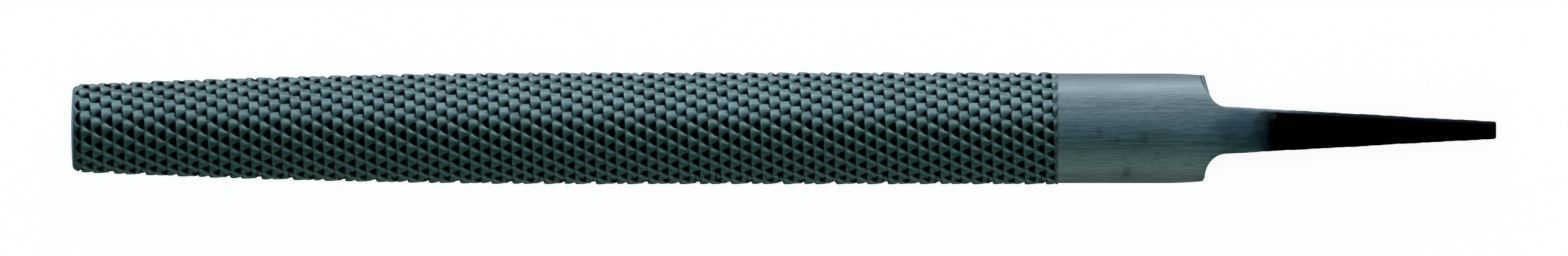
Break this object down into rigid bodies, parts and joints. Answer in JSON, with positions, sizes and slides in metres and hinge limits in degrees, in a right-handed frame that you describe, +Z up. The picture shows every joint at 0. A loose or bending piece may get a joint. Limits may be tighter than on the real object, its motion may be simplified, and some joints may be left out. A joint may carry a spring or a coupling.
{
  "type": "half-round rasp",
  "caption": "Half-round steel wood rasp with punched teeth on its round and flat sides, a bare ground heel, two shoulders and a tapered tang for a handle.",
  "frame": {"origin": "middle of the bounding box at the level of the surface that the rasp lies on, which the tips of the teeth on its flat side touch", "axes": "+X along the rasp from the tip to the tang, +Y across it, +Z up out of the round side"},
  "size_m": [0.3144, 0.0242, 0.0079],
  "materials": {
    "toothed_steel": "bare blue-grey tool steel with punched teeth, dark in the pits and bright on the crests",
    "ground_steel": "bare tool steel ground lengthwise, fine brushed lines",
    "forge_scale": "black hardening scale, dull, rubbed bright along one edge"
  },
  "bodies": {
    "root": {"toothed_blade": "toothed_steel", "heel": "ground_steel", "tang": "forge_scale"}
  },
  "joints": []
}
